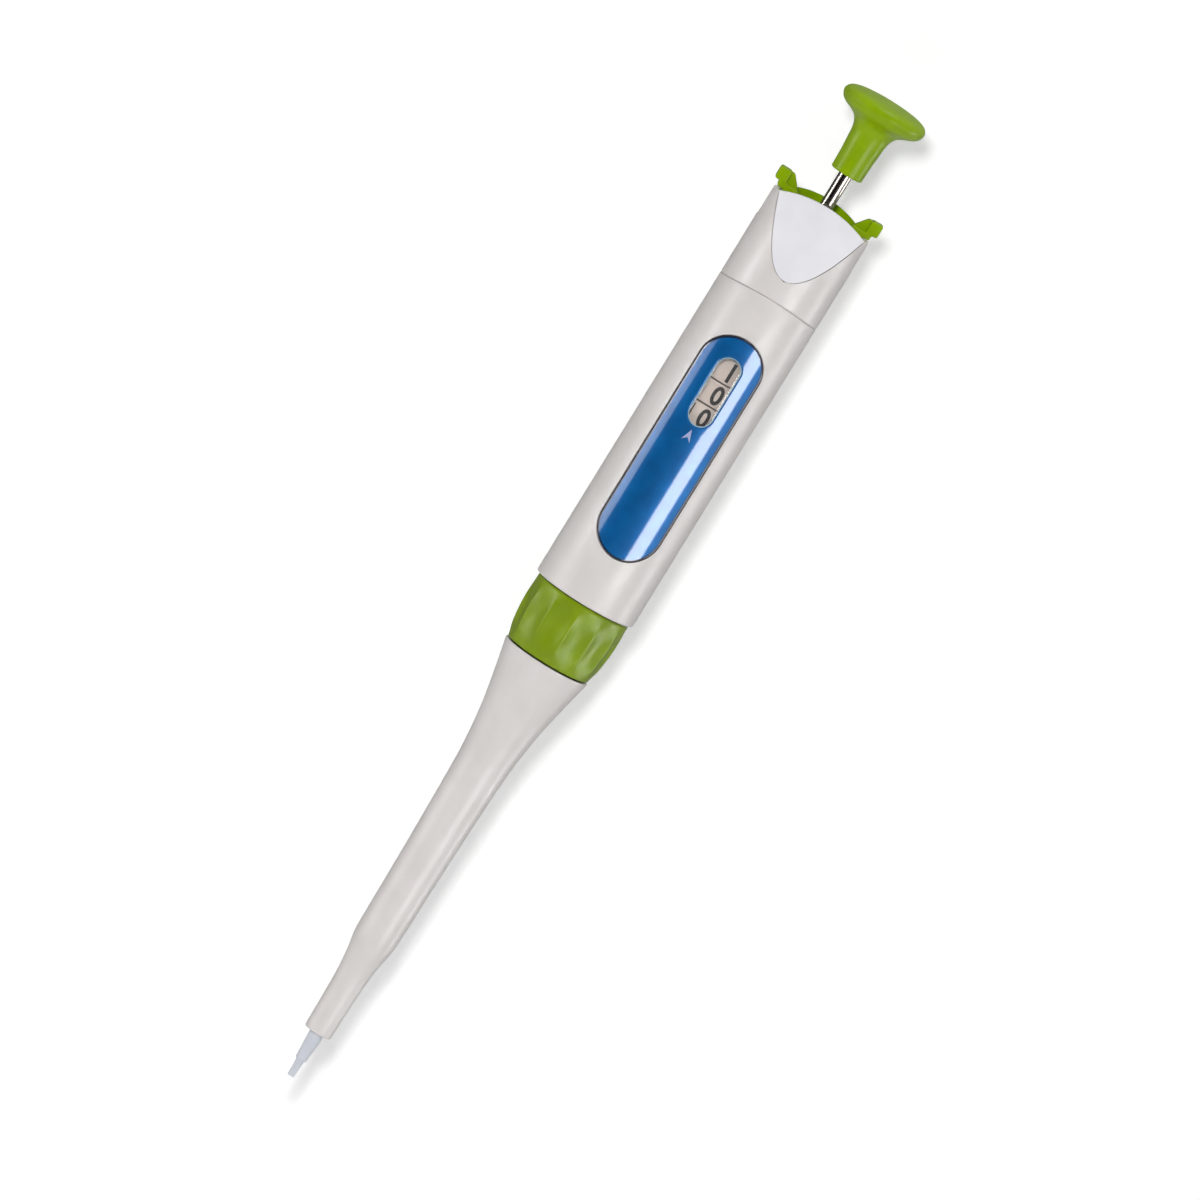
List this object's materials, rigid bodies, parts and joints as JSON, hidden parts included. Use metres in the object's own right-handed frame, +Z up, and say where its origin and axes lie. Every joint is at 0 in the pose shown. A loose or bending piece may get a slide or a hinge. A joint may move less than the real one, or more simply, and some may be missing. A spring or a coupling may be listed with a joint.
{
  "type": "micropipette",
  "caption": "Adjustable single-channel air-displacement micropipette with push button, drum counter, tip ejector, finger rest and removable tip cone.",
  "frame": {"origin": "middle of the finger rest's flat underside, behind the handle, where a stand holds the pipette", "axes": "+Z runs up along the pipette from the tip end to the push button, -Y is the front with the counter window, +X is to the right seen from the front"},
  "size_m": [0.0248, 0.0363, 0.2399],
  "materials": {
    "shell_plastic": "moulded pearl-grey plastic, satin gloss",
    "insert_plastic": "moulded white plastic, fine satin",
    "green_plastic": "moulded yellow-green plastic, satin gloss",
    "nut_plastic": "moulded olive-green plastic, satin",
    "panel_film": "glossy metallic-blue panel under clear lacquer",
    "lens_plastic": "clear moulded plastic window",
    "rod_steel": "polished stainless steel",
    "spring_steel": "drawn spring wire",
    "inner_plastic": "dark grey engineering plastic",
    "cone_plastic": "natural translucent fluoroplastic",
    "seal_rubber": "moulded black rubber",
    "drum_plastic": "pale grey moulded plastic with printed numbers",
    "brass": "turned brass"
  },
  "bodies": {
    "handle": {"body_shell": "shell_plastic", "head_shell": "shell_plastic", "head_insert": "insert_plastic", "label_panel": "panel_film", "window_lens": "lens_plastic", "counter_frame": "inner_plastic", "volume_nut": "brass", "rod_bush": "cone_plastic", "spring_seat": "inner_plastic", "tip_cone": "cone_plastic", "seal_o_ring": "seal_rubber", "piston_seal": "cone_plastic", "seal_retainer": "rod_steel"},
    "volume_drive": {"volume_spindle": "rod_steel", "drive_sleeve": "brass", "drum_units": "drum_plastic", "friction_ring": "seal_rubber"},
    "tens_drum": {"drum_tens": "drum_plastic"},
    "hundreds_drum": {"drum_hundreds": "drum_plastic"},
    "plunger": {"push_button": "green_plastic", "push_rod": "rod_steel", "stop_collar": "rod_steel", "piston_holder": "inner_plastic", "piston": "rod_steel", "piston_spring": "spring_steel"},
    "blowout_stop": {"stop_plate": "rod_steel", "blowout_spring": "spring_steel"},
    "ejector": {"ejector_button": "green_plastic", "ejector_rod": "rod_steel", "ejector_clip": "spring_steel", "ejector_spring": "spring_steel", "ejector_collar": "inner_plastic", "ejector_sleeve": "shell_plastic"},
    "lock_nut": {"grip_nut": "nut_plastic"}
  },
  "joints": [
    {"name": "volume_turn", "type": "hinge", "parent": "handle", "child": "volume_drive", "pos_m": [0, -0.0181, 0], "axis": [0, 0, 1], "range_deg": [-3420, 0]},
    {"name": "tens_drum_turn", "type": "hinge", "parent": "handle", "child": "tens_drum", "pos_m": [0, -0.0181, 0], "axis": [0, 0, 1], "range_deg": [-342, 0]},
    {"name": "hundreds_drum_turn", "type": "hinge", "parent": "handle", "child": "hundreds_drum", "pos_m": [0, -0.0181, 0], "axis": [0, 0, 1], "range_deg": [-34.2, 0]},
    {"name": "plunger_press", "type": "slide", "parent": "volume_drive", "child": "plunger", "axis": [0, 0, -1], "range_m": [0, 0.0148], "stiffness_N_per_m": 200, "springref_m": -0.01, "deforming": ["piston_spring"]},
    {"name": "blowout_travel", "type": "slide", "parent": "handle", "child": "blowout_stop", "axis": [0, 0, -1], "range_m": [0, 0.0028], "stiffness_N_per_m": 1500, "springref_m": -0.004, "deforming": ["blowout_spring"]},
    {"name": "ejector_press", "type": "slide", "parent": "handle", "child": "ejector", "axis": [0, 0, -1], "range_m": [0, 0.007], "stiffness_N_per_m": 400, "springref_m": -0.006, "deforming": ["ejector_spring"]},
    {"name": "lock_nut_turn", "type": "hinge", "parent": "handle", "child": "lock_nut", "pos_m": [0, -0.0181, 0], "axis": [0, 0, 1], "range_deg": [0, 60]}
  ],
  "couplings": [
    {"joint": "tens_drum_turn", "follows": "volume_turn", "ratio": 0.1},
    {"joint": "hundreds_drum_turn", "follows": "volume_turn", "ratio": 0.01},
    {"joint": "blowout_travel", "follows": "plunger_press", "ratio": 0.189}
  ]
}
